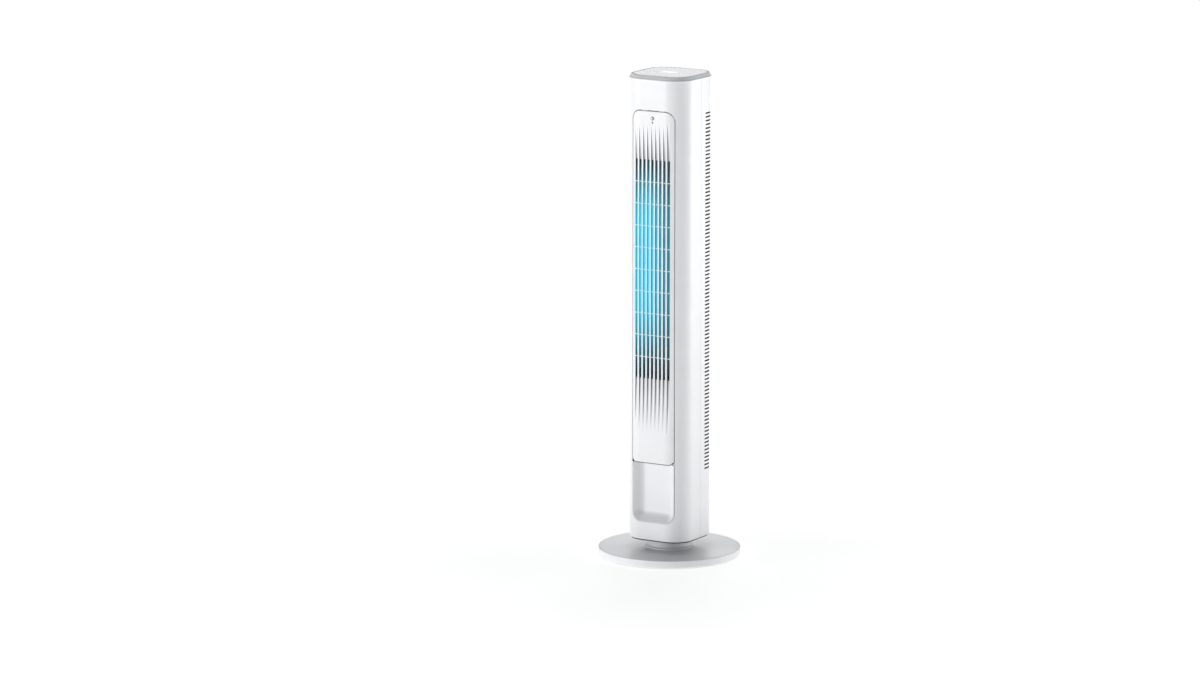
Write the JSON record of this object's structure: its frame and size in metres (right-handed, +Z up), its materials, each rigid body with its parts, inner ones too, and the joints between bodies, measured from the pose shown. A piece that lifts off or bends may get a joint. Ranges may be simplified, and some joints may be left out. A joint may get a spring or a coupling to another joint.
{
  "type": "tower fan",
  "caption": "Slim square tower fan: a slotted column with a cross-flow impeller swings on a round base; touch keys on top, finger recess under the front grille.",
  "frame": {"origin": "centre of the round base, on the floor", "axes": "+Z up along the column, -Y out of the front grille, +X to the side on the fan's left"},
  "size_m": [0.2974, 0.2974, 1.016],
  "materials": {
    "white_plastic": "fine satin moulded",
    "grey_cap_plastic": "satin",
    "touch_panel_gloss": "smooth gloss",
    "display_lens": "smooth gloss",
    "dark_plastic": "fine matte",
    "duct_plastic": "satin",
    "impeller_plastic": "satin",
    "rubber": "matte",
    "bright_steel": "turned",
    "zinc_sheet": "zinc plated",
    "sintered_bronze": "dull",
    "acetal": "waxy",
    "circuit_board": "solder mask",
    "smoked_lens": "clear gloss"
  },
  "bodies": {
    "base": {"base_cover": "white_plastic", "base_tray": "dark_plastic", "ballast_plate": "zinc_sheet", "neck": "grey_cap_plastic", "spindle": "bright_steel", "slide_ring": "acetal", "spindle_washer": "zinc_sheet", "spindle_nut": "bright_steel", "cord_gland": "rubber", "ring_gear": "acetal", "foot_1": "rubber", "foot_2": "rubber", "foot_3": "rubber", "foot_4": "rubber", "foot_5": "rubber", "foot_6": "rubber", "base_screw_1": "bright_steel", "base_screw_2": "bright_steel", "base_screw_3": "bright_steel", "base_screw_4": "bright_steel"},
    "column": {"turntable": "dark_plastic", "front_shell": "white_plastic", "rear_shell": "white_plastic", "outlet_frame": "white_plastic", "recess_tray": "white_plastic", "duct_floor": "white_plastic", "duct_roof": "white_plastic", "volute_wall": "duct_plastic", "vortex_tongue": "duct_plastic", "top_cap": "grey_cap_plastic", "touch_panel": "touch_panel_gloss", "display_window": "display_lens", "control_board": "circuit_board", "power_board": "circuit_board", "ir_receiver": "dark_plastic", "fan_motor": "dark_plastic", "motor_cup": "zinc_sheet", "motor_cushion": "rubber", "bearing_bush": "sintered_bronze", "bearing_seat": "rubber", "oscillation_motor": "zinc_sheet", "column_screw_1": "bright_steel", "shell_screw_1": "bright_steel", "column_screw_2": "bright_steel", "shell_screw_2": "bright_steel", "column_screw_3": "bright_steel", "shell_screw_3": "bright_steel", "column_screw_4": "bright_steel", "shell_screw_4": "bright_steel"},
    "wheel": {"impeller": "impeller_plastic", "motor_shaft": "bright_steel", "top_pin": "bright_steel"},
    "drive_pinion": {"oscillation_pinion": "acetal"},
    "grille": {"front_grille": "white_plastic", "ir_window": "smoked_lens", "status_lens": "smoked_lens"}
  },
  "joints": [
    {"name": "oscillation", "type": "hinge", "parent": "base", "child": "column", "pos_m": [0, 0, 0.0425], "axis": [0, 0, 1], "range_deg": [-45, 45]},
    {"name": "wheel_spin", "type": "hinge", "parent": "column", "child": "wheel", "pos_m": [0, 0.004, 0.6106], "axis": [0, 0, 1], "continuous": true},
    {"name": "pinion_spin", "type": "hinge", "parent": "column", "child": "drive_pinion", "pos_m": [0.0376, 0, 0.047], "axis": [0, 0, 1], "range_deg": [-185, 185]},
    {"name": "grille_tilt", "type": "hinge", "parent": "column", "child": "grille", "pos_m": [0, -0.07155, 0.9436], "axis": [-1, 0, 0], "range_deg": [0, 12]}
  ],
  "couplings": [
    {"joint": "pinion_spin", "follows": "oscillation", "ratio": 4}
  ]
}
